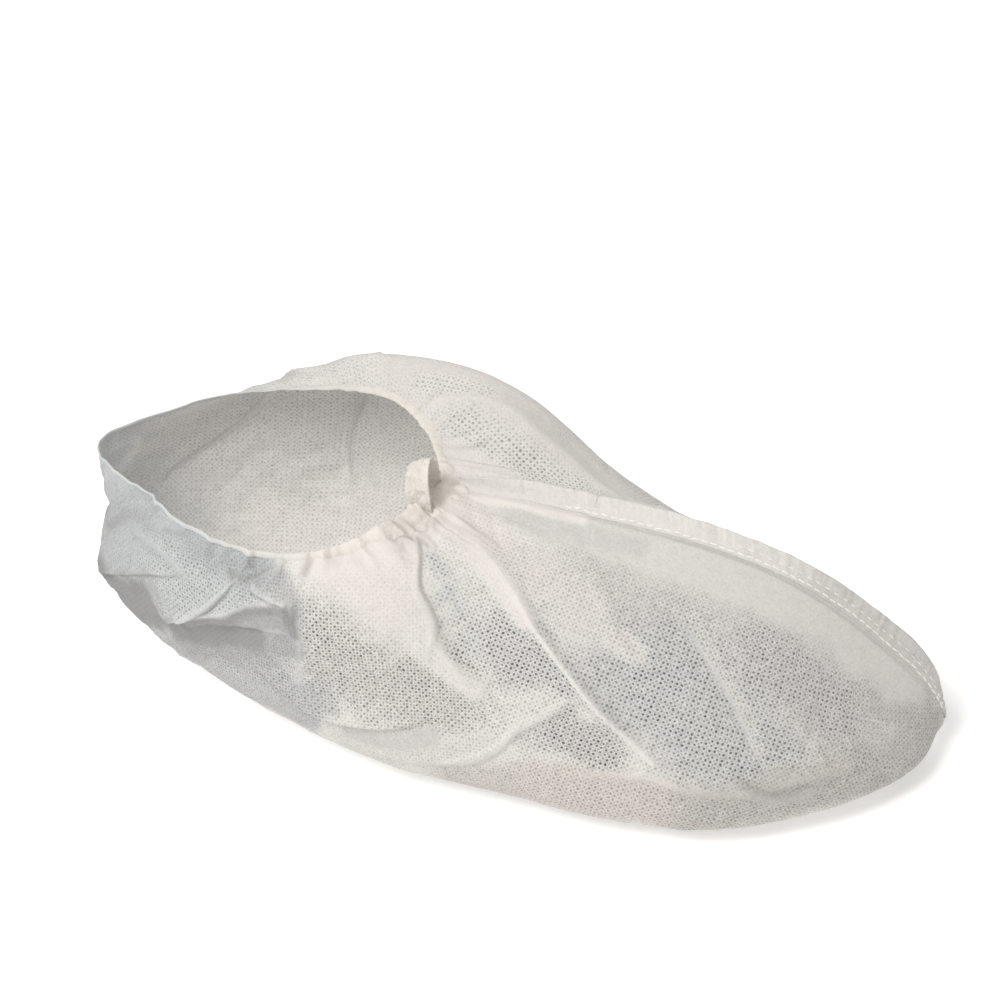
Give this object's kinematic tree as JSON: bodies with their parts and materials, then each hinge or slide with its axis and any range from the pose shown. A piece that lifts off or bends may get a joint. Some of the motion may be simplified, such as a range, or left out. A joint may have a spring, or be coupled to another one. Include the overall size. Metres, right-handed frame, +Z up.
{
  "type": "disposable shoe cover",
  "caption": "Baggy white non-woven shoe cover with a sewn instep seam fin and a gathered elastic ankle hem, standing on its flat sole to slip over a shoe.",
  "frame": {"origin": "centre of the footprint on the floor, under the flat sole", "axes": "+X to the toe, +Y to the far side of the picture, +Z up"},
  "size_m": [0.3307, 0.1364, 0.1133],
  "materials": {
    "nonwoven_cloth": "dull spunbonded web with point bonds",
    "gathered_hem": "ruched spunbonded web over elastic",
    "seam_cloth": "two layers of spunbonded web, stitched",
    "hem_tape": "curled end of the hem web"
  },
  "bodies": {
    "root": {"cover_body": "nonwoven_cloth", "elastic_hem": "gathered_hem", "instep_seam": "seam_cloth", "throat_loop": "hem_tape"}
  },
  "joints": []
}
